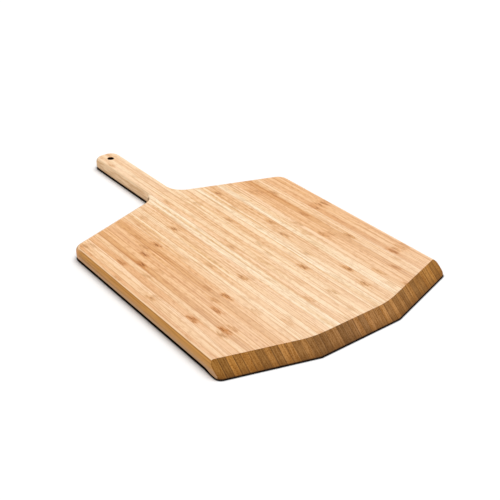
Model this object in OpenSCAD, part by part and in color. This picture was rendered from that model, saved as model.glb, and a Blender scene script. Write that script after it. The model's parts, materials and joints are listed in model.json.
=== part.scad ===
// Bamboo pizza peel: a panel of edge-glued bamboo staves, cut to outline, bevelled and drilled to hang.
// Lengths are millimetres. The board lies flat, underside on z = 0, with its handle towards +Y.

/* [Blade] */
// Width of the blade from side to side
blade_w = 309; // [240:1:400]
// Thickness of the board
board_t = 15; // [12:0.5:22]
// Distance from the front edge back to the corners where the shoulders start
side_end = 318; // [240:1:380]
// Width of the straight middle of the front edge
front_flat = 106; // [60:1:160]
// How far the front edge falls back from its middle to the sides
front_setback = 31.2; // [15:0.2:50]
// Radius of the front corners, in plan
front_corner_r = 7.5; // [5:0.5:12]
// Radius of the back corners, in plan
back_corner_r = 16.5; // [10:0.5:40]
// How far the shoulders rise from the back corners to the handle
shoulder_rise = 49; // [25:0.5:80]

/* [Front bevel] */
// Width of the bevel on the top face
bevel_run = 15.8; // [8:0.1:26]
// Thickness left at the leading edge
lip_t = 1.8; // [1.6:0.1:4]
// Radius, in plan, that softens the bevel's top line where the front edge turns
bevel_blend_r = 100; // [40:5:160]

/* [Handle] */
// Length of the whole peel, front edge to handle end
total_len = 521; // [450:1:640]
// Width of the handle
handle_w = 34; // [30:1:40]
// Radius of the fillets where the handle leaves the shoulders
root_r = 25; // [12:1:45]
// Radius of the corners of the handle's end, in plan
end_corner_r = 14; // [8:0.5:16]

/* [Hanging hole] */
// Diameter of the hole
hole_d = 8.5; // [5:0.5:11]
// Distance from the handle's end to the hole's centre
hole_from_end = 20.5; // [14:0.5:40]
// Width of the chamfer at both rims of the hole
hole_chamfer = 0.6; // [0.2:0.1:1.2]

/* [Edges] */
// Rounding of the upper edges, round the whole outline but for the bevelled front
top_r = 5.5; // [2:0.5:6.5]
// Rounding of the lower edges, round the whole outline but for the front
under_r = 4.5; // [2:0.5:5]
// Rounding of the front's lower edge, from corner to corner
front_under_r = 1.4; // [0.5:0.1:1.5]
// Radius of the run-outs behind the front corners, where the deeper lower rounding fades away
runout_r = 40; // [20:5:60]

/* [Staves] */
// Width of one bamboo strip as it is glued up
strip_w = 7.3; // [6:0.1:20]

/* [Hidden] */
// Arcs cross the edges that they join by this depth, so that the two surfaces meet on a clear line
lap = 0.05;
// Roundings do the same with the faces that they join
edge_lap = 0.01;
// How far a cutting shape runs past what it cuts
over = 5;
// Extra turn of the root arc where it meets the shoulder, in degrees
arc_over = 8;
// Turn that takes a run-out clear of the board, in degrees
runout_turn = 60;
// Share of its radius that the waste inside a hollow corner takes up
inside_reach = 0.75;
// Flat steps in the softened turn of the bevel
blend_steps = 6;
$fn = 96;

half_w = blade_w / 2;
half_h = handle_w / 2;
half_flat = front_flat / 2;

// Strips count outwards from the middle line, and the outermost takes up what is left of the width
per_side = max(2, round(half_w / strip_w));
SIDES = ["left", "right"];
function stave_name(side, i) = str("stave_", side, "_", i < 10 ? "0" : "", i);
function inner_x(i) = (i - 1) * strip_w;
function outer_x(i) = i == per_side ? half_w : i * strip_w;

// Honey and straw tones that vary from strip to strip
TONES = ["#e6c08a", "#d9ab6e", "#efd09f", "#dfb57c", "#cf9c5c"];
function tone(side, i) = TONES[(i * i + (side == "left" ? 2 : 0) + 3 * i) % len(TONES)];

// Slopes of the front edge's side facets and of the shoulders, in plan
front_a = atan2(front_setback, half_w - half_flat);
shoulder_a = atan2(shoulder_rise, half_w - half_h);
facet_len = norm([half_w - half_flat, front_setback]);

// Distance from a corner of 90 degrees plus a slope to where its arc of radius r leaves the edges
function tangent_len(r, slope) = r * tan((90 - slope) / 2);

front_seat = front_corner_r - lap;
back_seat = back_corner_r - lap;
root_seat = root_r - lap;
root_y = side_end + shoulder_rise;
front_centre = [half_w - front_seat, front_setback + tangent_len(front_seat, front_a)];
back_centre = [half_w - back_seat, side_end - tangent_len(back_seat, shoulder_a)];
root_centre = [half_h + root_r, root_y - root_r * tan(shoulder_a) + root_seat / cos(shoulder_a)];
root_foot_x = root_centre.x - root_seat * sin(shoulder_a);
shoulder_run = (half_w - root_foot_x) / cos(shoulder_a);
end_r = min(end_corner_r, half_h);
end_seat = end_r - lap;
end_centre = [half_h - end_seat, total_len - end_seat];
runout_y = front_centre.y + sqrt(2 * runout_r * under_r - under_r ^ 2);
hole_y = total_len - hole_from_end;

// The top line of the bevel turns about this centre, between these two places along X
blend_d = (bevel_run + bevel_blend_r) / cos(front_a / 2);
blend_x_in = half_flat - blend_d * sin(front_a / 2);
blend_x_out = blend_x_in + bevel_blend_r * sin(front_a);

// X that the root fillet and the handle's straight end reach to, past the tangent point because of the lap
root_x_out = root_foot_x + sqrt(2 * root_r * lap);
end_x_out = end_centre.x + sqrt(2 * end_r * lap);

// Y of the back outline at a given X, and how far back a stave's blank has to reach
function root_arc_y(x) = root_centre.y - sqrt(root_r ^ 2 - (root_centre.x - x) ^ 2);
function shoulder_y(x) = root_y - (x - half_h) * tan(shoulder_a);
function blank_end(x) =
    x < half_h ? total_len :
    over + (x < root_x_out ? root_arc_y(x) : shoulder_y(x));

// Waste over a rounding of radius r at the origin: the board lies below it and to its left, or its right
module upper_corner_waste(r, board_on_left) {
    x = board_on_left ? -r : 0;
    seat = r - edge_lap;
    difference() {
        translate([x, -r]) square([r, r + over]);
        translate([board_on_left ? -seat : seat, -seat]) circle(r);
    }
}

// The same under a lower edge, with the board above it
module lower_corner_waste(r, board_on_left) {
    x = board_on_left ? -r : 0;
    seat = r - edge_lap;
    difference() {
        translate([x, -over]) square([r, r + over]);
        translate([board_on_left ? -seat : seat, seat]) circle(r);
    }
}

// Waste beside an edge in cross-section: x is the distance from the edge, y the height
module edge_waste(top, under, reach, board_on_left = true) {
    translate([board_on_left ? 0 : -reach, -over]) square([reach, board_t + 2 * over]);
    if (top > 0)
        translate([0, board_t]) upper_corner_waste(top, board_on_left);
    if (under > 0)
        lower_corner_waste(under, board_on_left);
}

// Waste along a straight edge that starts at a point and faces outwards at an angle from +X
module straight_waste(start, facing, from, to, top, under) {
    translate([start.x, start.y, 0])
        rotate([0, 0, facing])
            translate([0, to, 0])
                rotate([90, 0, 0])
                    linear_extrude(to - from)
                        edge_waste(top, under, total_len);
}

// Waste outside a rounded corner of the board
module outside_arc_waste(centre, r, from, to, top, under) {
    translate([centre.x, centre.y, 0])
        rotate([0, 0, from])
            rotate_extrude(angle = to - from)
                translate([r, 0]) edge_waste(top, under, r + over);
}

// Waste inside a hollow corner of the board
module inside_arc_waste(centre, r, from, to, top, under) {
    translate([centre.x, centre.y, 0])
        rotate([0, 0, from])
            rotate_extrude(angle = to - from)
                translate([r, 0]) edge_waste(top, under, r * inside_reach, board_on_left = false);
}

// Waste above one flat of the bevel: it turns with the front edge and climbs to the top face over its run
module bevel_flat_waste(turn, run) {
    translate([half_flat, 0, lip_t])
        rotate([0, 0, turn])
            rotate([atan2(board_t - lip_t, run), 0, 0])
                translate([-blade_w, -blade_w, 0])
                    cube([2 * blade_w, 2 * blade_w, blade_w]);
}

// The operations below each take one cut off the strip that follows them, if that strip reaches so far.

// Front edge with its small lower rounding: the straight middle, then the side facet
module front_cut(x_in, x_out) {
    difference() {
        children();
        if (x_in < half_flat)
            straight_waste([0, 0], -90, -over, half_flat + over, 0, front_under_r);
        if (x_out > half_flat)
            straight_waste([half_flat, 0], front_a - 90, -over, facet_len + over, 0, front_under_r);
    }
}

// Rounded front corner, below the bevel
module front_corner_cut(x_out) {
    difference() {
        children();
        if (x_out > front_centre.x)
            outside_arc_waste(front_centre, front_corner_r, front_a - 90, 0, 0, front_under_r);
    }
}

// Long side of the blade, with its lower edge as on the front
module side_cut(x_out) {
    difference() {
        children();
        if (x_out > half_w - max(top_r, front_under_r))
            straight_waste([half_w, 0], 0, -over, side_end + over, top_r, front_under_r);
    }
}

// Deeper lower rounding along the side
module side_under_cut(x_out) {
    difference() {
        children();
        if (x_out > half_w - under_r)
            straight_waste([half_w, 0], 0, runout_y, side_end + over, 0, under_r);
    }
}

// Run-out of that rounding behind the front corner
module side_runout_cut(x_out) {
    difference() {
        children();
        if (x_out > half_w - under_r)
            inside_arc_waste([half_w + runout_r, runout_y], runout_r, 180, 180 + runout_turn, 0, under_r);
    }
}

// Rounded back corner
module back_corner_cut(x_out) {
    difference() {
        children();
        if (x_out > back_centre.x)
            outside_arc_waste(back_centre, back_corner_r, 0, 90 - shoulder_a, top_r, under_r);
    }
}

// Sloping shoulder
module shoulder_cut(x_out) {
    difference() {
        children();
        if (x_out > half_h)
            straight_waste([half_w, side_end], 90 - shoulder_a, -over, shoulder_run, top_r, under_r);
    }
}

// Fillet between shoulder and handle
module root_cut(x_in, x_out) {
    difference() {
        children();
        if (x_out > half_h - max(top_r, under_r) && x_in < root_x_out)
            inside_arc_waste(root_centre, root_r, 180, 270 - shoulder_a + arc_over, top_r, under_r);
    }
}

// Side of the handle
module handle_side_cut(x_in, x_out) {
    difference() {
        children();
        if (x_out > half_h - max(top_r, under_r) && x_in < half_h)
            straight_waste([half_h, 0], 0, root_centre.y, total_len + over, top_r, under_r);
    }
}

// Short straight end of the handle and its rounded corner
module handle_end_cut(x_in, x_out) {
    difference() {
        children();
        if (x_in < end_x_out)
            straight_waste([0, total_len], 90, -end_x_out - over, over, top_r, under_r);
        if (x_out > end_centre.x && x_in < half_h)
            outside_arc_waste(end_centre, end_r, 0, 90, top_r, under_r);
    }
}

// Front bevel: the middle flat, the side flat, and a fan of narrow flats that softens the turn between them
module bevel_cut(x_in, x_out) {
    difference() {
        children();
        if (x_in < half_flat)
            bevel_flat_waste(0, bevel_run);
        if (x_out > half_flat)
            bevel_flat_waste(front_a, bevel_run);
        if (x_out > blend_x_in && x_in < blend_x_out)
            for (k = [1:blend_steps - 1]) {
                turn = front_a * k / blend_steps;
                bevel_flat_waste(turn, blend_d * cos(turn - front_a / 2) - bevel_blend_r);
            }
    }
}

// Hanging hole, drilled through and chamfered at both rims
module hole_cut(x_in) {
    hole_r = hole_d / 2;
    rim_r = hole_r + hole_chamfer;
    rim_z = board_t - hole_chamfer;
    difference() {
        children();
        if (x_in < rim_r) {
            translate([0, hole_y, -over]) cylinder(r = hole_r, h = board_t + 2 * over);
            translate([0, hole_y, 0]) cylinder(r1 = rim_r, r2 = hole_r, h = hole_chamfer);
            translate([0, hole_y, rim_z]) cylinder(r1 = hole_r, r2 = rim_r, h = hole_chamfer);
        }
    }
}

// One glued strip as it comes from the panel, before it is cut
module strip_blank(x_in, x_out) {
    translate([x_in, 0, 0]) cube([x_out - x_in, blank_end(x_in), board_t]);
}

// One finished stave: shaped as a right-hand one and mirrored for the left
module stave(side, i) {
    x_in = inner_x(i);
    x_out = outer_x(i);
    color(tone(side, i))
        translate([0, -total_len / 2, 0])
            mirror([side == "left" ? 1 : 0, 0, 0])
                hole_cut(x_in)
                bevel_cut(x_in, x_out)
                handle_end_cut(x_in, x_out)
                handle_side_cut(x_in, x_out)
                root_cut(x_in, x_out)
                shoulder_cut(x_out)
                back_corner_cut(x_out)
                side_runout_cut(x_out)
                side_under_cut(x_out)
                side_cut(x_out)
                front_corner_cut(x_out)
                front_cut(x_in, x_out)
                strip_blank(x_in, x_out);
}

for (side = SIDES, i = [1:per_side])
    stave(side, i);
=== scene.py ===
"""Bamboo pizza peel: the finish of every stave, with a white studio and the camera around it."""

import json
import logging
import math
from dataclasses import dataclass
from enum import Enum
from typing import Mapping, Sequence, Union

import bpy
from mathutils import Matrix, Vector


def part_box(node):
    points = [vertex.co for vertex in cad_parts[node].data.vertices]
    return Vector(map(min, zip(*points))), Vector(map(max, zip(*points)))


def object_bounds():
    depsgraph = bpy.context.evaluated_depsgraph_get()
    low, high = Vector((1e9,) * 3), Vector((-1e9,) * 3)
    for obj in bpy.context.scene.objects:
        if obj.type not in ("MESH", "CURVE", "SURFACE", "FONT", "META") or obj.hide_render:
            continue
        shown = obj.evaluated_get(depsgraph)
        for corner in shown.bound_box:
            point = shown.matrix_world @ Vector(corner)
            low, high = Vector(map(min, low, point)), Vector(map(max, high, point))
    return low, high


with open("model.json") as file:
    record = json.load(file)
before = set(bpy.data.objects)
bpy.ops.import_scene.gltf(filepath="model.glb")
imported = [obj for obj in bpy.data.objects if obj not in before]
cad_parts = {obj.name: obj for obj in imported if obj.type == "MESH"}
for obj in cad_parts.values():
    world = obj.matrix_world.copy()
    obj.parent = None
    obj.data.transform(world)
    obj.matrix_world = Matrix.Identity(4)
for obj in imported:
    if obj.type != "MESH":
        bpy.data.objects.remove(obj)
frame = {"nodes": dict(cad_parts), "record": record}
CAD_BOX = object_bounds()

LOG = logging.getLogger("peel")
MM = 0.001
IMAGE_PX = 500

# Noise lies round this value.
NOISE_MEAN = 0.5

# What a stave's seed gains with its number and with its side, and how a fixed lot is drawn from the seed.
SEED_STEP = 11.3
SEED_OF_SIDE = 5.7
LOT_TURN = 12.9
LOT_SPREAD = 437.6

# A colour is linear red, green and blue. A span is the reading that gives 0, then the one that gives 1.
Colour = tuple[float, float, float]
Span = tuple[float, float]

WHITE: Colour = (1.0, 1.0, 1.0)


def linear(red: int, green: int, blue: int) -> Colour:
    """Turns a colour as it is seen on screen into the linear values of a shader.

    Args:
        red: Red from 0 to 255.
        green: Green from 0 to 255.
        blue: Blue from 0 to 255.

    Returns:
        The linear colour.
    """
    # The screen's standard curve, above its short straight foot.
    return tuple(((v / 255 + 0.055) / 1.055) ** 2.4 for v in (red, green, blue))


def tinted(colour: Colour, tint: Colour) -> Colour:
    """Multiplies a colour by a tint, channel by channel.

    Args:
        colour: The colour to start from.
        tint: The share that each channel keeps.

    Returns:
        The tinted colour.
    """
    return tuple(c * t for c, t in zip(colour, tint))


class Wire:
    """An output socket of a material, whose arithmetic adds Math nodes."""

    def __init__(self, graph: "Graph", socket: bpy.types.NodeSocket) -> None:
        """Keeps the socket and the graph that it belongs to."""
        self.graph = graph
        self.socket = socket

    def math(self, operation: str, *operands: "Value") -> "Wire":
        """Adds one Math node.

        Args:
            operation: Blender's name of the operation.
            operands: Numbers or wires, in the node's order.

        Returns:
            The node's result.
        """
        return self.graph.node("ShaderNodeMath", {"operation": operation}, dict(enumerate(operands)))

    def __add__(self, other: "Value") -> "Wire":
        """This plus other."""
        return self.math("ADD", self, other)

    def __radd__(self, other: "Value") -> "Wire":
        """Other plus this."""
        return self.math("ADD", other, self)

    def __sub__(self, other: "Value") -> "Wire":
        """This minus other."""
        return self.math("SUBTRACT", self, other)

    def __rsub__(self, other: "Value") -> "Wire":
        """Other minus this."""
        return self.math("SUBTRACT", other, self)

    def __mul__(self, other: "Value") -> "Wire":
        """This times other."""
        return self.math("MULTIPLY", self, other)

    def __rmul__(self, other: "Value") -> "Wire":
        """Other times this."""
        return self.math("MULTIPLY", other, self)

    def __truediv__(self, other: "Value") -> "Wire":
        """This divided by other."""
        return self.math("DIVIDE", self, other)

    def __rtruediv__(self, other: "Value") -> "Wire":
        """Other divided by this."""
        return self.math("DIVIDE", other, self)

    def __abs__(self) -> "Wire":
        """This without its sign."""
        return self.math("ABSOLUTE", self)

    def least(self, other: "Value") -> "Wire":
        """The smaller of this and other."""
        return self.math("MINIMUM", self, other)

    def most(self, other: "Value") -> "Wire":
        """The larger of this and other."""
        return self.math("MAXIMUM", self, other)

    def floor(self) -> "Wire":
        """This, rounded down."""
        return self.math("FLOOR", self)

    def root(self) -> "Wire":
        """The square root of this."""
        return self.math("SQRT", self)

    def lifted(self, lowest: float) -> "Wire":
        """This share, lifted so that its 0 becomes lowest and its 1 stays."""
        return lowest + self * (1 - lowest)


Value = Union[float, Wire]
Input = Union[float, Sequence[float], Wire]


def opaque(colour: Input) -> Input:
    """Adds full opacity to a plain colour, and leaves a wire as it is."""
    return colour if isinstance(colour, Wire) else (*colour, 1.0)


class Graph:
    """The node tree of one material or world."""

    def __init__(self, tree: bpy.types.NodeTree) -> None:
        """Empties the tree, to build it anew."""
        self.tree = tree
        tree.nodes.clear()

    def node(
        self,
        kind: str,
        settings: Mapping[str, object],
        inputs: Mapping[Union[int, str], Input],
        output: Union[int, str] = 0,
    ) -> Wire:
        """Adds a node.

        Args:
            kind: Blender's type name of the node.
            settings: The node's own properties, which are set first.
            inputs: Values or wires of its sockets, by index, name or identifier.
            output: The socket to return, by index, name or identifier.

        Returns:
            The chosen output.
        """
        made = self.tree.nodes.new(kind)
        for name, value in settings.items():
            setattr(made, name, value)
        for key, value in inputs.items():
            socket = self.socket(made.inputs, key)
            if isinstance(value, Wire):
                self.tree.links.new(value.socket, socket)
            else:
                socket.default_value = value
        return Wire(self, self.socket(made.outputs, output) if made.outputs else None)

    @staticmethod
    def socket(sockets: bpy.types.bpy_prop_collection, key: Union[int, str]) -> bpy.types.NodeSocket:
        """Finds a socket.

        Args:
            sockets: The inputs or outputs of a node.
            key: The socket's index, identifier or name.

        Returns:
            The socket.
        """
        if isinstance(key, int):
            return sockets[key]
        return next((s for s in sockets if s.identifier == key), None) or sockets[key]

    def blend(self, share: Value, first: Input, second: Input) -> Wire:
        """Mixes two colours.

        Args:
            share: How much of the second colour shows, from 0 to 1.
            first: The first colour.
            second: The second colour.

        Returns:
            The mixed colour.
        """
        settings = {"data_type": "RGBA", "clamp_factor": True}
        inputs = {"Factor_Float": share, "A_Color": opaque(first), "B_Color": opaque(second)}
        return self.node("ShaderNodeMix", settings, inputs, "Result_Color")

    def ease(self, value: Wire, span: Span) -> Wire:
        """Runs smoothly from 0 to 1.

        Args:
            value: What is measured.
            span: The value that gives 0, and the one that gives 1.

        Returns:
            The eased share.
        """
        start, end = span
        settings = {"interpolation_type": "SMOOTHSTEP"}
        inputs = {"Value": value, "From Min": start, "From Max": end}
        return self.node("ShaderNodeMapRange", settings, inputs)

    def vector(self, x: Value, y: Value, z: Value) -> Wire:
        """Joins three values to a vector."""
        return self.node("ShaderNodeCombineXYZ", {}, {"X": x, "Y": y, "Z": z})

    def split(self, vector: Wire) -> tuple[Wire, Wire, Wire]:
        """Takes a vector apart.

        Args:
            vector: The vector.

        Returns:
            Its three parts.
        """
        x = self.node("ShaderNodeSeparateXYZ", {}, {0: vector})
        outputs = x.socket.node.outputs
        return x, Wire(self, outputs[1]), Wire(self, outputs[2])

    def noise(self, vector: Wire, detail: float) -> Wire:
        """Soft noise with one lump to each unit of the vector.

        Args:
            vector: Where to read it.
            detail: How many finer layers it has.

        Returns:
            A value round one half.
        """
        inputs = {"Vector": vector, "Scale": 1.0, "Detail": detail}
        return self.node("ShaderNodeTexNoise", {}, inputs, "Fac")

    def cells(self, vector: Wire) -> Wire:
        """Distance to the nearest of scattered points, one to each unit of the vector."""
        return self.node("ShaderNodeTexVoronoi", {}, {"Vector": vector, "Scale": 1.0}, "Distance")


class Tone(Enum):
    """Colours of the planed strips, from the palest to the darkest."""

    CREAM = linear(252, 225, 190)
    BLOND = linear(250, 215, 174)
    PEACH = linear(248, 208, 166)
    HONEY = linear(243, 200, 154)
    AMBER = linear(241, 192, 142)
    TAN = linear(236, 184, 134)
    CARAMEL = linear(227, 172, 116)


class Side(Enum):
    """The two halves of the panel, with the sign of their X."""

    LEFT = -1
    RIGHT = 1


@dataclass(frozen=True)
class Strip:
    """What one bamboo strip was chosen for: its tone, and where the culm's nodes fall on it.

    Args:
        tone: Colour of the planed face.
        first_node: Distance of the first node from the front edge, in millimetres.
        node_gap: Distance from one node to the next, in millimetres.
        mark: How strongly the nodes are stained, from 0 to 1.
    """

    tone: Tone
    first_node: float
    node_gap: float = 137.0
    mark: float = 0.45


# The strips of each half, from the middle outwards.
LEFT_STRIPS = (
    Strip(Tone.BLOND, first_node=20, mark=0.2),
    Strip(Tone.PEACH, first_node=69),
    Strip(Tone.CREAM, first_node=120, mark=0.15),
    Strip(Tone.CREAM, first_node=30, mark=0.15),
    Strip(Tone.PEACH, first_node=3, mark=0.3),
    Strip(Tone.HONEY, first_node=8, mark=0.7),
    Strip(Tone.BLOND, first_node=55, mark=0.2),
    Strip(Tone.HONEY, first_node=51, mark=0.35),
    Strip(Tone.BLOND, first_node=110, mark=0.2),
    Strip(Tone.HONEY, first_node=85, mark=0.3),
    Strip(Tone.AMBER, first_node=125, mark=0.9),
    Strip(Tone.CARAMEL, first_node=15, mark=0.25),
    Strip(Tone.AMBER, first_node=128, mark=0.4),
    Strip(Tone.TAN, first_node=112, node_gap=139, mark=0.9),
    Strip(Tone.AMBER, first_node=75, mark=0.35),
    Strip(Tone.CARAMEL, first_node=78, node_gap=158, mark=1.0),
    Strip(Tone.HONEY, first_node=73, mark=0.5),
    Strip(Tone.TAN, first_node=113, node_gap=139, mark=0.9),
    Strip(Tone.PEACH, first_node=31, mark=0.35),
    Strip(Tone.HONEY, first_node=36, mark=0.5),
    Strip(Tone.TAN, first_node=90, mark=0.3),
)
RIGHT_STRIPS = (
    Strip(Tone.HONEY, first_node=100, mark=0.2),
    Strip(Tone.BLOND, first_node=30, mark=0.2),
    Strip(Tone.BLOND, first_node=66, node_gap=126, mark=0.4),
    Strip(Tone.HONEY, first_node=122, mark=0.7),
    Strip(Tone.BLOND, first_node=15, mark=0.2),
    Strip(Tone.CREAM, first_node=85, mark=0.25),
    Strip(Tone.BLOND, first_node=6, mark=0.35),
    Strip(Tone.HONEY, first_node=57, node_gap=134, mark=0.6),
    Strip(Tone.HONEY, first_node=90, node_gap=135, mark=0.9),
    Strip(Tone.CREAM, first_node=18, mark=0.25),
    Strip(Tone.BLOND, first_node=40, mark=0.3),
    Strip(Tone.PEACH, first_node=65, mark=0.45),
    Strip(Tone.AMBER, first_node=27, mark=0.6),
    Strip(Tone.AMBER, first_node=23, mark=0.4),
    Strip(Tone.CARAMEL, first_node=60, node_gap=155, mark=0.5),
    Strip(Tone.HONEY, first_node=4, node_gap=139, mark=0.8),
    Strip(Tone.PEACH, first_node=72, mark=0.25),
    Strip(Tone.TAN, first_node=87, node_gap=135, mark=0.6),
    Strip(Tone.AMBER, first_node=87, node_gap=135, mark=0.6),
    Strip(Tone.AMBER, first_node=87, node_gap=135, mark=0.6),
    Strip(Tone.TAN, first_node=87, node_gap=135, mark=0.4),
)


@dataclass(frozen=True)
class Stave:
    """One glued strip of the panel, and the measures that its finish follows, in millimetres.

    Args:
        side: The half of the panel that it belongs to.
        number: Its place, counted outwards from the middle.
        strip: The bamboo strip that it is planed from.
        front: Y of the panel's front edge.
    """

    side: Side
    number: int
    strip: Strip
    front: float

    @property
    def node(self) -> str:
        """Name of the stave's solid."""
        return f"stave_{self.side.name.lower()}_{self.number:02d}"

    @property
    def tone(self) -> Colour:
        """Colour of its planed face."""
        return self.strip.tone.value

    @property
    def seed(self) -> float:
        """A number of its own, so that no two staves share their grain."""
        return SEED_STEP * self.number + SEED_OF_SIDE * self.side.value

    @property
    def lot(self) -> float:
        """A number from 0 to 1 as if drawn by lot, but the same each run."""
        return math.sin(self.seed * LOT_TURN) * LOT_SPREAD % 1.0

    @property
    def drilled(self) -> bool:
        """Whether the hanging hole goes through it."""
        return self.number == 1

    @property
    def outermost(self) -> bool:
        """Whether it is the last strip of its half, with the long side of the blade."""
        return self.number == len(LEFT_STRIPS)

    @property
    def outward(self) -> float:
        """How far out it lies, from about -0.5 at the panel's middle to 0.5 at its side."""
        return self.number / len(LEFT_STRIPS) - 0.5

    @property
    def low(self) -> float:
        """Its lower X."""
        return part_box(self.node)[0].x / MM

    @property
    def high(self) -> float:
        """Its higher X."""
        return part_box(self.node)[1].x / MM

    @property
    def middle(self) -> float:
        """Its middle line's X."""
        return (self.low + self.high) / 2

    @property
    def width(self) -> float:
        """Its width."""
        return self.high - self.low


@dataclass(frozen=True)
class Fibre:
    """Size of the fibres that a pattern is drawn out to, in millimetres.

    Args:
        across: Their width.
        length: Their length.
        deep: Their depth.
        detail: How many finer layers the pattern has.
    """

    across: float
    length: float
    deep: float
    detail: float = 2.0


@dataclass(frozen=True)
class Spot:
    """A place on a stave as its material reads it, in millimetres, with the nodes to add to.

    Args:
        graph: The material's nodes.
        stave: The stave.
        x: Distance across the board from its middle line.
        fibre_x: The same, bent as the fibres wander.
        y: Distance along the board from its middle.
        along: Distance along the board from its front edge.
        z: Height above the underside.
        facing_x: Sideways part of the direction that the surface faces.
        facing_y: Lengthwise part of that direction.
        facing_z: Upward part of that direction.
    """

    graph: Graph
    stave: Stave
    x: Wire
    fibre_x: Wire
    y: Wire
    along: Wire
    z: Wire
    facing_x: Wire
    facing_y: Wire
    facing_z: Wire

    def stretched(self, fibre: Fibre) -> Wire:
        """Coordinates in which one fibre is a unit wide, long and deep.

        Args:
            fibre: The size of the fibres.

        Returns:
            The coordinates, shifted by the stave's seed.
        """
        seed = self.stave.seed
        return self.graph.vector(
            self.fibre_x / fibre.across + seed,
            self.along / fibre.length + seed,
            self.z / fibre.deep - seed,
        )

    def noise(self, fibre: Fibre) -> Wire:
        """Noise drawn out along the fibres, round one half."""
        return self.graph.noise(self.stretched(fibre), fibre.detail)

    def cells(self, fibre: Fibre) -> Wire:
        """Distance to the nearest of scattered points that are drawn out along the fibres."""
        return self.graph.cells(self.stretched(fibre))


@dataclass(frozen=True)
class PlanedFace:
    """Planed face of a strip: streaks, short flecks and fine dark lines; paler towards the front edge as a
    painted sheen, and paler along the handle.
    """

    streak: Fibre = Fibre(across=2.2, length=170, deep=9, detail=3.0)
    streak_span: Span = (0.44, 0.68)
    fleck: Fibre = Fibre(across=1.7, length=8, deep=4)
    fleck_span: Span = (0.49, 0.65)
    fleck_depth: float = 0.95
    fleck_between_streaks: float = 0.4
    line: Fibre = Fibre(across=1.0, length=150, deep=6, detail=1.0)
    line_span: Span = (0.58, 0.64)
    line_depth: float = 0.85
    blade_sheen_span: Span = (260.0, 30.0)
    handle_pale_span: Span = (320.0, 400.0)
    handle_pale_share: float = 0.8
    sheen_and_pale_depth: float = 0.27
    pale_tint: Colour = (1.01, 1.05, 1.10)
    deep_tint: Colour = (0.88, 0.77, 0.60)
    dark_tint: Colour = (0.70, 0.51, 0.33)
    sheen_and_pale_colour: Colour = linear(252, 228, 200)

    def paint(self, spot: Spot) -> Wire:
        """Paints the face in the strip's tone.

        Args:
            spot: Where the material is read.

        Returns:
            The colour.
        """
        graph = spot.graph
        tone = spot.stave.tone
        dark = tinted(tone, self.dark_tint)
        streak = graph.ease(spot.noise(self.streak), self.streak_span)
        colour = graph.blend(streak, tinted(tone, self.pale_tint), tinted(tone, self.deep_tint))
        fleck = graph.ease(spot.noise(self.fleck), self.fleck_span) * self.fleck_depth
        colour = graph.blend(fleck * streak.lifted(self.fleck_between_streaks), colour, dark)
        line = graph.ease(spot.noise(self.line), self.line_span)
        colour = graph.blend(line * self.line_depth, colour, dark)
        # Paler towards the front edge: a painted sheen. Paler along the handle as well.
        blade = graph.ease(spot.along, self.blade_sheen_span)
        handle = graph.ease(spot.along, self.handle_pale_span)
        sheen_and_pale = blade + handle * self.handle_pale_share
        return graph.blend(sheen_and_pale * self.sheen_and_pale_depth, colour, self.sheen_and_pale_colour)


@dataclass(frozen=True)
class NodeStain:
    """Ragged brown stain where a node of the culm crosses a strip: a smudge with tails, and a dark core."""

    length: float = 10.0
    slant: float = 0.30
    narrowness: float = 0.8
    off_centre: float = 1.6
    chance_step: float = 3.71
    least_strength: float = 0.6
    ragged: Fibre = Fibre(across=1.5, length=6, deep=1.5, detail=4.0)
    ragged_depth: float = 2.0
    smudge_span: Span = (1.30, 0.35)
    tail: Fibre = Fibre(across=1.2, length=60, deep=4, detail=1.0)
    tail_span: Span = (0.52, 0.70)
    tail_reach: Span = (34.0, 5.0)
    tail_depth: float = 0.60
    core_span: Span = (1.00, 0.30)
    core_fray: float = 0.6
    dash: Fibre = Fibre(across=0.9, length=9, deep=0.9, detail=1.0)
    dash_span: Span = (0.45, 0.55)
    between_dashes: float = 0.12
    smudge_tint: Colour = (0.84, 0.68, 0.49)
    core_tint: Colour = (0.38, 0.22, 0.09)

    def over(self, colour: Wire, spot: Spot, fine: Wire) -> Wire:
        """Lays the stain over a colour.

        Args:
            colour: The colour below.
            spot: Where the material is read.
            fine: The fine grain, which frays the core.

        Returns:
            The colour with the stain.
        """
        graph = spot.graph
        stave = spot.stave
        strip = stave.strip
        # Half a gap is added first, so that rounding down gives the number of the nearest node.
        turns = (spot.along - strip.first_node) / strip.node_gap + 0.5
        nearest = turns.floor()
        away = (turns - nearest - 0.5) * strip.node_gap
        draw = graph.vector(nearest * self.chance_step + stave.seed, stave.seed, 0.0)
        chance = graph.noise(draw, detail=0.0)
        strength = strip.mark * (self.least_strength + chance)

        # Across runs from -1 to 1 over the strip's width, from a centre that chance moves.
        across = (spot.fibre_x - stave.middle) / stave.width * 2 - (chance - NOISE_MEAN) * self.off_centre
        reach = away / self.length + across * self.slant
        far = (reach * reach + across * across * self.narrowness).root()
        far = far + (spot.noise(self.ragged) - NOISE_MEAN) * self.ragged_depth

        tail = graph.ease(abs(away), self.tail_reach) * graph.ease(spot.noise(self.tail), self.tail_span)
        smudge = graph.ease(far, self.smudge_span) + tail * self.tail_depth
        colour = graph.blend(smudge * strength, colour, tinted(stave.tone, self.smudge_tint))
        dashes = graph.ease(spot.noise(self.dash), self.dash_span)
        core = graph.ease(far + (fine - NOISE_MEAN) * self.core_fray, self.core_span)
        core = core * dashes.lifted(self.between_dashes)
        return graph.blend(core * strength, colour, tinted(stave.tone, self.core_tint))


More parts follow.
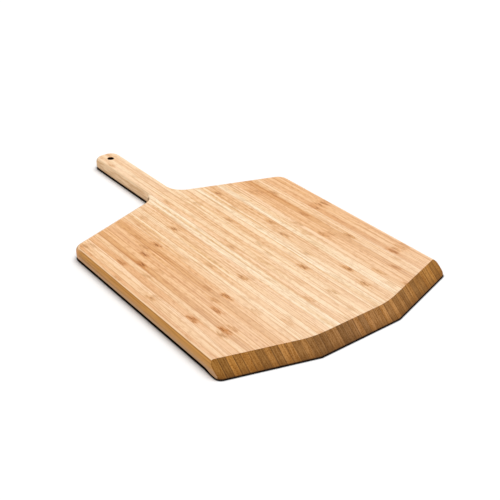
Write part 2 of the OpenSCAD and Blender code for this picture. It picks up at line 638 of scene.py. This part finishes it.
@dataclass(frozen=True)
class PaintedEdgeLight:
    """Rounded upper edges, painted paler as a painted highlight, so that the rounding reads as lit."""

    flat_turn: Span = (0.998, 0.95)
    steep_turn: Span = (0.70, 0.88)
    depth: float = 0.60
    edge_light_colour: Colour = linear(253, 224, 184)

    def over(self, colour: Wire, spot: Spot) -> Wire:
        """Lays the painted highlight over a colour.

        Args:
            colour: The colour below.
            spot: Where the material is read.

        Returns:
            The colour with the painted highlight.
        """
        graph = spot.graph
        # Painted highlight on the upper roundings.
        painted_edge_light = graph.ease(spot.facing_z, self.flat_turn) * graph.ease(spot.facing_z, self.steep_turn)
        return graph.blend(painted_edge_light * self.depth, colour, self.edge_light_colour)


@dataclass(frozen=True)
class SideGrain:
    """Streaks on the side of a strip, greyer towards its foot, where a reflection of the white floor is
    painted.

    Args:
        streak: Size of the streaks.
        streak_span: How the streaks are told from what lies between them.
        streak_depth: How strong they are.
        foot_span: Heights between which the painted floor reflection sets in.
        foot_depth: How strong the painted floor reflection is.
        streak_tint: What a streak keeps of the plain colour.
        floor_reflection_colour: Colour of the painted floor reflection.
    """

    streak: Fibre
    streak_span: Span
    streak_depth: float
    foot_span: Span
    foot_depth: float
    streak_tint: Colour = (0.74, 0.64, 0.50)
    floor_reflection_colour: Colour = linear(206, 164, 126)

    def paint(self, plain: Colour, spot: Spot) -> Wire:
        """Paints the side.

        Args:
            plain: The plain colour of the side.
            spot: Where the material is read.

        Returns:
            The colour.
        """
        graph = spot.graph
        streak = graph.ease(spot.noise(self.streak), self.streak_span)
        colour = graph.blend(streak * self.streak_depth, plain, tinted(plain, self.streak_tint))
        # Painted reflection of the white floor, towards the foot.
        foot = graph.ease(spot.z, self.foot_span)
        return graph.blend(foot * self.foot_depth, colour, self.floor_reflection_colour)


@dataclass(frozen=True)
class SawnSide:
    """Mottled side of a strip where the handle or a shoulder is sawn along it."""

    grain: SideGrain = SideGrain(
        streak=Fibre(across=9, length=22, deep=2.2, detail=3.0),
        streak_span=(0.42, 0.58),
        streak_depth=0.8,
        # The foot is a painted reflection of the white floor.
        foot_span=(8.0, 4.5),
        foot_depth=0.5,
    )
    turn: Span = (0.60, 0.86)
    depth: float = 0.9
    tint: Colour = (1.05, 0.92, 0.80)

    def over(self, colour: Wire, spot: Spot) -> Wire:
        """Lays the sawn side over a colour.

        Args:
            colour: The colour below.
            spot: Where the material is read.

        Returns:
            The colour with the sawn side.
        """
        side = spot.graph.ease(abs(spot.facing_x), self.turn)
        sawn = self.grain.paint(tinted(spot.stave.tone, self.tint), spot)
        return spot.graph.blend(side * self.depth, colour, sawn)


@dataclass(frozen=True)
class SkinSide:
    """Long side of the blade: the skin of its outermost strip, streaked lengthwise, with painted shade along
    its rounded edges.
    """

    grain: SideGrain = SideGrain(
        streak=Fibre(across=9, length=90, deep=1.8, detail=3.0),
        streak_span=(0.38, 0.62),
        streak_depth=1.0,
        # The foot is a painted reflection of the white floor.
        foot_span=(9.5, 5.0),
        foot_depth=0.8,
    )
    turn: Span = (0.41, 0.49)
    end: Span = (316.0, 298.0)
    edge_shade_turn: Span = (0.74, 0.54)
    skin_colour: Colour = linear(217, 158, 86)
    edge_shade_tint: Colour = (0.68, 0.58, 0.50)

    def over(self, colour: Wire, spot: Spot) -> Wire:
        """Lays the skin over a colour, as far as the back corner.

        Args:
            colour: The colour below.
            spot: Where the material is read.

        Returns:
            The colour with the skin.
        """
        graph = spot.graph
        sideways = abs(spot.facing_x)
        # Painted shade where the side rounds over into the top and the underside.
        edge = graph.ease(sideways, self.edge_shade_turn)
        skin = self.grain.paint(self.skin_colour, spot)
        skin = graph.blend(edge, skin, tinted(self.skin_colour, self.edge_shade_tint))
        share = graph.ease(sideways, self.turn) * graph.ease(spot.along, self.end)
        return graph.blend(share, colour, skin)


@dataclass(frozen=True)
class EndGrain:
    """Cut across the fibres: streaked, dotted with fibre bundles, and darker at its foot."""

    turn: Span = (0.25, 0.50)
    bundle: Fibre = Fibre(across=1.3, length=60, deep=1.1)
    bundle_span: Span = (0.55, 0.15)
    bundle_depth: float = 0.58
    streak: Fibre = Fibre(across=1.3, length=400, deep=16, detail=4.0)
    streak_span: Span = (0.40, 0.60)
    streak_depth: float = 0.58
    foot_span: Span = (8.0, 1.5)
    foot_depth: float = 0.6
    least_light: float = 0.68
    light_range: float = 0.58
    green_loss: float = 0.08
    middle_blue: float = 1.08
    blue_loss: float = 0.70
    cut_colour: Colour = linear(187, 133, 70)
    dark_tint: Colour = (0.52, 0.40, 0.16)
    foot_tint: Colour = (0.72, 0.72, 0.74)

    def cut(self, spot: Spot) -> Wire:
        """How far the surface cuts across the fibres, from 0 to 1."""
        return spot.graph.ease(abs(spot.facing_y), self.turn)

    def bundles(self, spot: Spot) -> Wire:
        """Where the fibre bundles are, from 0 to 1."""
        return spot.graph.ease(spot.cells(self.bundle), self.bundle_span)

    def oiled(self, stave: Stave) -> Colour:
        """Colour of one strip's cut. Each takes up oil in its own way, and the outer ones are warmer.

        Args:
            stave: The stave.

        Returns:
            The colour.
        """
        light = self.least_light + self.light_range * stave.lot
        green = 1.0 - self.green_loss * stave.outward
        blue = self.middle_blue - self.blue_loss * stave.outward
        return tinted(self.cut_colour, (light, light * green, light * blue))

    def over(self, colour: Wire, spot: Spot, cut: Wire, bundles: Wire) -> Wire:
        """Lays the end grain over a colour.

        Args:
            colour: The colour below.
            spot: Where the material is read.
            cut: How far the surface cuts across the fibres.
            bundles: Where the fibre bundles are.

        Returns:
            The colour with the end grain.
        """
        graph = spot.graph
        pale = self.oiled(spot.stave)
        dark = tinted(pale, self.dark_tint)
        streak = graph.ease(spot.noise(self.streak), self.streak_span)
        grain = graph.blend(streak * self.streak_depth + bundles * self.bundle_depth, pale, dark)
        foot = graph.ease(spot.z, self.foot_span)
        grain = graph.blend(foot * self.foot_depth, grain, tinted(dark, self.foot_tint))
        return graph.blend(cut, colour, grain)


@dataclass(frozen=True)
class GlueLine:
    """Glue line between two strips, darker in some stretches than in others."""

    reach: Span = (0.70, 0.10)
    patch_length: float = 60.0
    patch_span: Span = (0.35, 0.65)
    faintest: float = 0.25
    depth_on_face: float = 0.82
    depth_on_cut: float = 0.80
    tint_on_face: Colour = (0.70, 0.51, 0.33)
    colour_on_cut: Colour = linear(76, 44, 20)

    def joint(self, spot: Spot) -> Wire:
        """Finds the glue line along the glued edges of a strip.

        Args:
            spot: Where the material is read.

        Returns:
            How much of the line shows, from 0 to 1.
        """
        graph = spot.graph
        stave = spot.stave
        if not stave.outermost:
            edge = (spot.x - stave.low).least(stave.high - spot.x)
        elif stave.side is Side.LEFT:
            edge = stave.high - spot.x
        else:
            edge = spot.x - stave.low
        patch = graph.noise(graph.vector(stave.seed, spot.along / self.patch_length, 0.0), detail=1.0)
        return graph.ease(edge, self.reach) * graph.ease(patch, self.patch_span).lifted(self.faintest)

    def over(self, colour: Wire, spot: Spot, joint: Wire, cut: Wire) -> Wire:
        """Lays the glue line over a colour.

        Args:
            colour: The colour below.
            spot: Where the material is read.
            joint: How much of the line shows.
            cut: How far the surface cuts across the fibres.

        Returns:
            The colour with the glue line.
        """
        graph = spot.graph
        on_face = joint * (1 - cut) * self.depth_on_face
        colour = graph.blend(on_face, colour, tinted(spot.stave.tone, self.tint_on_face))
        return graph.blend(joint * cut * self.depth_on_cut, colour, self.colour_on_cut)


@dataclass(frozen=True)
class PaintedContactShade:
    """Lowest edge all round and the thin front lip, painted dark: painted shade where the board meets the
    floor.
    """

    under_turn: Span = (-0.02, -0.50)
    under_height: Span = (0.05, 0.60)
    lip_turn: Span = (-0.40, -0.55)
    lip_height: Span = (2.4, 1.3)
    depth: float = 0.82
    contact_shade_colour: Colour = linear(62, 37, 21)

    def over(self, colour: Wire, spot: Spot) -> Wire:
        """Lays the painted shade over a colour.

        Args:
            colour: The colour below.
            spot: Where the material is read.

        Returns:
            The colour with the painted shade.
        """
        graph = spot.graph
        # Painted shade along the underside edge and the front lip.
        under = graph.ease(spot.facing_z, self.under_turn) * graph.ease(spot.z, self.under_height)
        lip = graph.ease(spot.facing_y, self.lip_turn) * graph.ease(spot.z, self.lip_height)
        return graph.blend(under.most(lip) * self.depth, colour, self.contact_shade_colour)


@dataclass(frozen=True)
class ShadedBore:
    """Wall of the hanging hole on the middle line, painted near black as painted shade inside the hole."""

    mount: str = "hanging_hole"
    outside: float = 0.30
    inside: float = 0.05
    bore_shade_colour: Colour = linear(34, 20, 12)

    def over(self, colour: Wire, spot: Spot) -> Wire:
        """Lays the painted shade of the hole over a colour.

        Args:
            colour: The colour below.
            spot: Where the material is read.

        Returns:
            The colour with the painted shade.
        """
        graph = spot.graph
        hole = next(mount for mount in frame["record"]["mounts"] if mount["name"] == self.mount)
        radius = hole["dims"]["r_mm"]
        back = spot.y - hole["pos_m"][1] / MM
        far = (spot.x * spot.x + back * back).root()
        # Painted shade inside the hanging hole.
        bore_shade_mask = graph.ease(far, (radius + self.outside, radius + self.inside))
        return graph.blend(bore_shade_mask, colour, self.bore_shade_colour)


@dataclass(frozen=True)
class BambooFinish:
    """Planed and oiled bamboo, layer on layer. Lengths are millimetres, depths shares of the full effect."""

    face: PlanedFace = PlanedFace()
    stain: NodeStain = NodeStain()
    painted_edge_light: PaintedEdgeLight = PaintedEdgeLight()
    sawn: SawnSide = SawnSide()
    skin: SkinSide = SkinSide()
    end_grain: EndGrain = EndGrain()
    glue: GlueLine = GlueLine()
    contact_shade: PaintedContactShade = PaintedContactShade()
    bore_shade: ShadedBore = ShadedBore()
    wander: float = 0.8
    wander_length: float = 45.0
    fine: Fibre = Fibre(across=0.4, length=24, deep=0.4)
    gloss: float = 0.15
    roughness: float = 0.52
    roughness_of_cut: float = 0.66
    roughness_swing: float = 0.2
    bump_height: float = 0.08
    bump_strength: float = 0.4
    bundle_pit: float = 0.8
    joint_groove: float = 0.4

    def spot(self, graph: Graph, stave: Stave) -> Spot:
        """Reads the place and the direction of a stave's surface.

        Args:
            graph: The material's nodes.
            stave: The stave.

        Returns:
            The spot that the layers read.
        """
        place = graph.node("ShaderNodeTexCoord", {}, {}, "Object")
        x, y, z = (part / MM for part in graph.split(place))
        along = y - stave.front
        slow = graph.vector(stave.seed, along / self.wander_length, z / self.wander_length)
        bend = graph.noise(slow, detail=1.0) - NOISE_MEAN
        fibre_x = x + bend * self.wander
        normal = graph.node("ShaderNodeNewGeometry", {}, {}, "Normal")
        facing_x, facing_y, facing_z = graph.split(normal)
        return Spot(graph, stave, x, fibre_x, y, along, z, facing_x, facing_y, facing_z)

    def dress(self, stave: Stave) -> bpy.types.Material:
        """Makes the material of one stave.

        Args:
            stave: The stave that takes the finish.

        Returns:
            The material.
        """
        material = bpy.data.materials.new(f"bamboo_{stave.node}")
        material.use_nodes = True
        graph = Graph(material.node_tree)
        spot = self.spot(graph, stave)
        fine = spot.noise(self.fine)
        cut = self.end_grain.cut(spot)
        bundles = self.end_grain.bundles(spot)
        joint = self.glue.joint(spot)

        colour = self.stain.over(self.face.paint(spot), spot, fine)
        # Painted highlight on the upper roundings.
        colour = self.painted_edge_light.over(colour, spot)
        colour = self.sawn.over(colour, spot)
        if stave.outermost:
            colour = self.skin.over(colour, spot)
        colour = self.end_grain.over(colour, spot, cut, bundles)
        colour = self.glue.over(colour, spot, joint, cut)
        # Painted shade along the lowest edge and the front lip.
        colour = self.contact_shade.over(colour, spot)
        if stave.drilled:
            # Painted shade inside the hanging hole.
            colour = self.bore_shade.over(colour, spot)

        swing = (fine - NOISE_MEAN) * self.roughness_swing
        rough = self.roughness + swing + cut * (self.roughness_of_cut - self.roughness)
        height = fine - bundles * cut * self.bundle_pit - joint * self.joint_groove
        bump = graph.node(
            "ShaderNodeBump",
            {},
            {"Strength": self.bump_strength, "Distance": self.bump_height * MM, "Height": height},
        )
        shader = graph.node(
            "ShaderNodeBsdfPrincipled",
            {},
            {"Base Color": colour, "Roughness": rough, "Specular IOR Level": self.gloss, "Normal": bump},
        )
        graph.node("ShaderNodeOutputMaterial", {}, {"Surface": shader})
        return material


@dataclass(frozen=True)
class Panel:
    """The glued panel: all its staves with one kind of finish."""

    finish: BambooFinish

    def staves(self) -> list[Stave]:
        """Lists the staves of both halves, from the middle outwards.

        Returns:
            The staves.
        """
        front = CAD_BOX[0].y / MM
        halves = ((Side.LEFT, LEFT_STRIPS), (Side.RIGHT, RIGHT_STRIPS))
        return [
            Stave(side, number, strip, front)
            for side, strips in halves
            for number, strip in enumerate(strips, start=1)
        ]

    def build(self) -> None:
        """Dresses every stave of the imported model."""
        for stave in self.staves():
            solid = frame["nodes"][stave.node]
            solid.data.materials.clear()
            solid.data.materials.append(self.finish.dress(stave))
            LOG.info("%s: %s bamboo", stave.node, stave.strip.tone.name.lower())


@dataclass(frozen=True)
class Lamp:
    """One soft distant lamp.

    Args:
        name: Its name.
        strength: Its strength.
        azimuth: Where it stands, in degrees from +Y towards +X.
        elevation: How high it stands, in degrees.
        softness: How wide it is, in degrees.
    """

    name: str
    strength: float
    azimuth: float
    elevation: float
    softness: float

    @property
    def towards(self) -> Vector:
        """Finds the direction from the peel to the lamp.

        Returns:
            The direction, one unit long.
        """
        azimuth = math.radians(self.azimuth)
        elevation = math.radians(self.elevation)
        level = math.cos(elevation)
        return Vector((math.sin(azimuth) * level, math.cos(azimuth) * level, math.sin(elevation)))

    def build(self) -> None:
        """Hangs the lamp."""
        light = bpy.data.lights.new(self.name, "SUN")
        light.energy = self.strength
        light.angle = math.radians(self.softness)
        lamp = bpy.data.objects.new(self.name, light)
        bpy.context.scene.collection.objects.link(lamp)
        lamp.rotation_mode = "QUATERNION"
        lamp.rotation_quaternion = self.towards.to_track_quat("Z", "Y")
        LOG.info("%s lamp: %.0f degrees high", self.name, self.elevation)


@dataclass(frozen=True)
class Studio:
    """White floor, a soft key lamp from the right, a low fill from the left, and a sky brightest overhead.

    Lengths are metres, apart from the reach of the contact shadow, which is in millimetres.
    """

    key: Lamp = Lamp("key", strength=1.90, azimuth=62.0, elevation=66.0, softness=40.0)
    fill: Lamp = Lamp("fill", strength=0.8, azimuth=-110.0, elevation=7.0, softness=30.0)
    floor_size: float = 12.0
    floor_albedo: float = 0.8
    contact_reach: float = 2.6
    contact_samples: int = 16
    contact_span: Span = (0.62, 1.0)
    contact_shadow_colour: Colour = (0.006, 0.004, 0.003)
    sky_top: tuple[float, float, float] = (0.45, 0.25, 0.86)
    sky_span: Span = (-0.3, 0.9)
    sky_bright: float = 0.62
    sky_dim: float = 0.05

    def build(self) -> None:
        """Builds the floor, the lamps and the sky."""
        self.floor()
        self.key.build()
        self.fill.build()
        self.sky()

    @staticmethod
    def seen(graph: Graph) -> Wire:
        """Tells whether a ray comes from the camera, straight or by way of gloss or glass.

        Args:
            graph: The nodes to add to.

        Returns:
            1 for such a ray, and 0 for any other.
        """
        camera = graph.node("ShaderNodeLightPath", {}, {}, "Is Camera Ray")
        outputs = camera.socket.node.outputs
        gloss = Wire(graph, outputs["Is Glossy Ray"])
        glass = Wire(graph, outputs["Is Transmission Ray"])
        return camera.most(gloss).most(glass)

    def floor(self) -> None:
        """Lays a plain floor under the peel."""
        half = self.floor_size / 2
        mesh = bpy.data.meshes.new("floor")
        corners = [(-half, -half, 0), (half, -half, 0), (half, half, 0), (-half, half, 0)]
        mesh.from_pydata(corners, [], [(0, 1, 2, 3)])
        mesh.materials.append(self.floor_paint())
        floor = bpy.data.objects.new("floor", mesh)
        bpy.context.scene.collection.objects.link(floor)
        LOG.info("floor: white, %.0f m", self.floor_size)

    def floor_paint(self) -> bpy.types.Material:
        """Makes the floor's paint, which is seen as white, keeps the shadow, and has a painted contact shadow
        that is darkest under the peel.

        Returns:
            The material.
        """
        material = bpy.data.materials.new("floor_white")
        material.use_nodes = True
        graph = Graph(material.node_tree)
        grey = (self.floor_albedo,) * 3
        plain = graph.blend(self.seen(graph), grey, WHITE)
        settings = {"samples": self.contact_samples}
        inputs = {"Distance": self.contact_reach * MM}
        clear = graph.node("ShaderNodeAmbientOcclusion", settings, inputs, "AO")
        # Painted contact shadow next to the peel.
        colour = graph.blend(graph.ease(clear, self.contact_span), self.contact_shadow_colour, plain)
        shader = graph.node("ShaderNodeBsdfDiffuse", {}, {"Color": colour})
        graph.node("ShaderNodeOutputMaterial", {}, {"Surface": shader})
        return material

    def sky(self) -> None:
        """Lights the peel from all round, most from above and the right, with white past the floor's edge."""
        world = bpy.data.worlds.new("studio")
        world.use_nodes = True
        bpy.context.scene.world = world
        graph = Graph(world.node_tree)
        direction = graph.node("ShaderNodeTexCoord", {}, {}, "Generated")
        settings = {"operation": "DOT_PRODUCT"}
        height = graph.node("ShaderNodeVectorMath", settings, {0: direction, 1: self.sky_top}, "Value")
        light = graph.ease(height, self.sky_span) * (self.sky_bright - self.sky_dim) + self.sky_dim
        seen = self.seen(graph)
        strength = light * (1 - seen) + seen
        sky = graph.node("ShaderNodeBackground", {}, {"Color": opaque(WHITE), "Strength": strength})
        graph.node("ShaderNodeOutputWorld", {}, {"Surface": sky})


@dataclass(frozen=True)
class Viewpoint:
    """The camera: where it stands round the peel, in degrees and metres."""

    azimuth: float = -37.13
    elevation: float = 30.44
    roll: float = -0.22
    distance: float = 1.0733
    target: tuple[float, float, float] = (0.0167, -0.0531, 0.0)
    focal_px: float = 918.9
    sensor_mm: float = 36.0

    def build(self) -> None:
        """Sets up the camera and makes it the scene's own."""
        azimuth, elevation, roll = (math.radians(v) for v in (self.azimuth, self.elevation, self.roll))
        level = math.cos(elevation)
        right = Vector((math.cos(azimuth), math.sin(azimuth), 0.0))
        back = Vector((math.sin(azimuth) * level, -math.cos(azimuth) * level, math.sin(elevation)))
        up = back.cross(right)
        turned = math.cos(roll) * right + math.sin(roll) * up
        upright = math.cos(roll) * up - math.sin(roll) * right
        lens = bpy.data.cameras.new("view")
        lens.sensor_width = self.sensor_mm
        lens.lens = self.focal_px / IMAGE_PX * self.sensor_mm
        camera = bpy.data.objects.new("view", lens)
        bpy.context.scene.collection.objects.link(camera)
        place = Matrix.Translation(Vector(self.target) + back * self.distance)
        camera.matrix_world = place @ Matrix((turned, upright, back)).transposed().to_4x4()
        bpy.context.scene.camera = camera
        LOG.info("camera: %.1f mm lens", lens.lens)


def main() -> None:
    """Builds the peel's looks, the studio and the camera."""
    logging.basicConfig(level=logging.INFO, format="%(name)s: %(message)s")
    bpy.context.scene.view_settings.view_transform = "Standard"
    Panel(BambooFinish()).build()
    Studio().build()
    Viewpoint().build()


if __name__ == "__main__":
    main()
